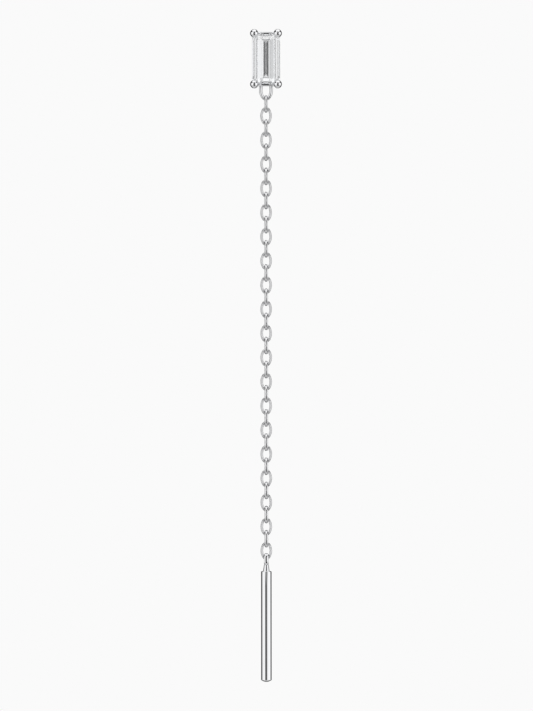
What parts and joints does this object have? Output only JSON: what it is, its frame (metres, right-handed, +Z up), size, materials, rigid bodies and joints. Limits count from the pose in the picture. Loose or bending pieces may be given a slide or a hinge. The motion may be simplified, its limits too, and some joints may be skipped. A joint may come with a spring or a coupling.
{
  "type": "threader earring",
  "caption": "Threader earring: a step-cut baguette in a four-prong setting, a fine cable chain and a round bar that passes through the ear lobe.",
  "frame": {"origin": "middle of the flat back of the setting, where it lies against the ear lobe", "axes": "+Z up along the hanging chain, the stone faces -Y, +X to the right seen from the front"},
  "size_m": [0.0028, 0.0023, 0.0588],
  "materials": {
    "polished_silver": "mirror polished, rhodium plated",
    "chain_silver": "tumble polished, rhodium plated",
    "cubic_zirconia": "cut and polished"
  },
  "bodies": {
    "setting_and_chain": {"setting": "polished_silver", "stone": "cubic_zirconia", "link_01": "chain_silver", "link_02": "chain_silver", "link_03": "chain_silver", "link_04": "chain_silver", "link_05": "chain_silver", "link_06": "chain_silver", "link_07": "chain_silver", "link_08": "chain_silver", "link_09": "chain_silver", "link_10": "chain_silver", "link_11": "chain_silver", "link_12": "chain_silver", "link_13": "chain_silver", "link_14": "chain_silver", "link_15": "chain_silver", "link_16": "chain_silver", "link_17": "chain_silver", "link_18": "chain_silver", "link_19": "chain_silver", "link_20": "chain_silver", "link_21": "chain_silver", "link_22": "chain_silver", "link_23": "chain_silver", "link_24": "chain_silver", "link_25": "chain_silver", "link_26": "chain_silver", "link_27": "chain_silver", "link_28": "chain_silver", "link_29": "chain_silver", "link_30": "chain_silver", "link_31": "chain_silver", "link_32": "chain_silver", "link_33": "chain_silver", "link_34": "chain_silver", "link_35": "chain_silver", "link_36": "chain_silver", "link_37": "chain_silver", "link_38": "chain_silver"},
    "swinging_bar": {"bar": "polished_silver"}
  },
  "joints": [
    {"name": "bar_swing", "type": "hinge", "parent": "setting_and_chain", "child": "swinging_bar", "pos_m": [0, -0.00104, -0.04494], "axis": [1, 0, 0], "range_deg": [-135, 135]}
  ]
}
